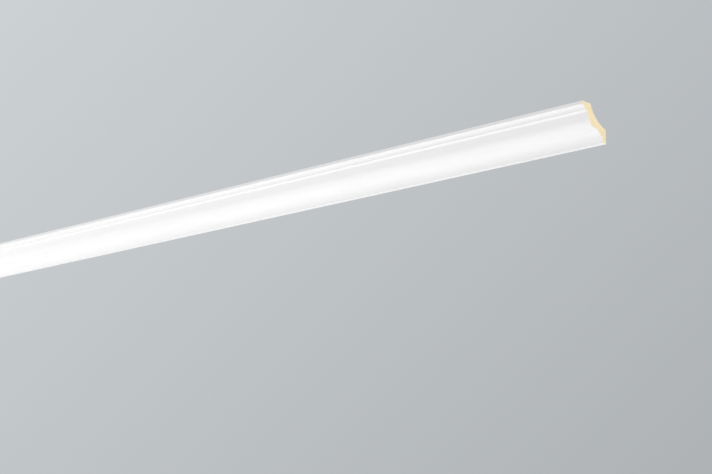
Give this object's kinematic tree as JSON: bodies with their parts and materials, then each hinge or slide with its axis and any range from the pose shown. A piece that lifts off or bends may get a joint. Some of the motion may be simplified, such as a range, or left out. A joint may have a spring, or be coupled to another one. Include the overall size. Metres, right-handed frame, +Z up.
{
  "type": "ceiling cornice moulding",
  "caption": "Straight length of ceiling cornice with a small cove over an ogee, hollow behind, cut square at both ends.",
  "frame": {"origin": "middle of the flat face that lies on the wall, at mid-length", "axes": "+X along the length, +Y into the wall, +Z up to the ceiling"},
  "size_m": [2, 0.076, 0.07],
  "materials": {
    "primed_foam": "smooth white factory primer, low sheen, on cream rigid foam that shows at the cut ends and on the back"
  },
  "bodies": {
    "root": {"cornice": "primed_foam"}
  },
  "joints": []
}
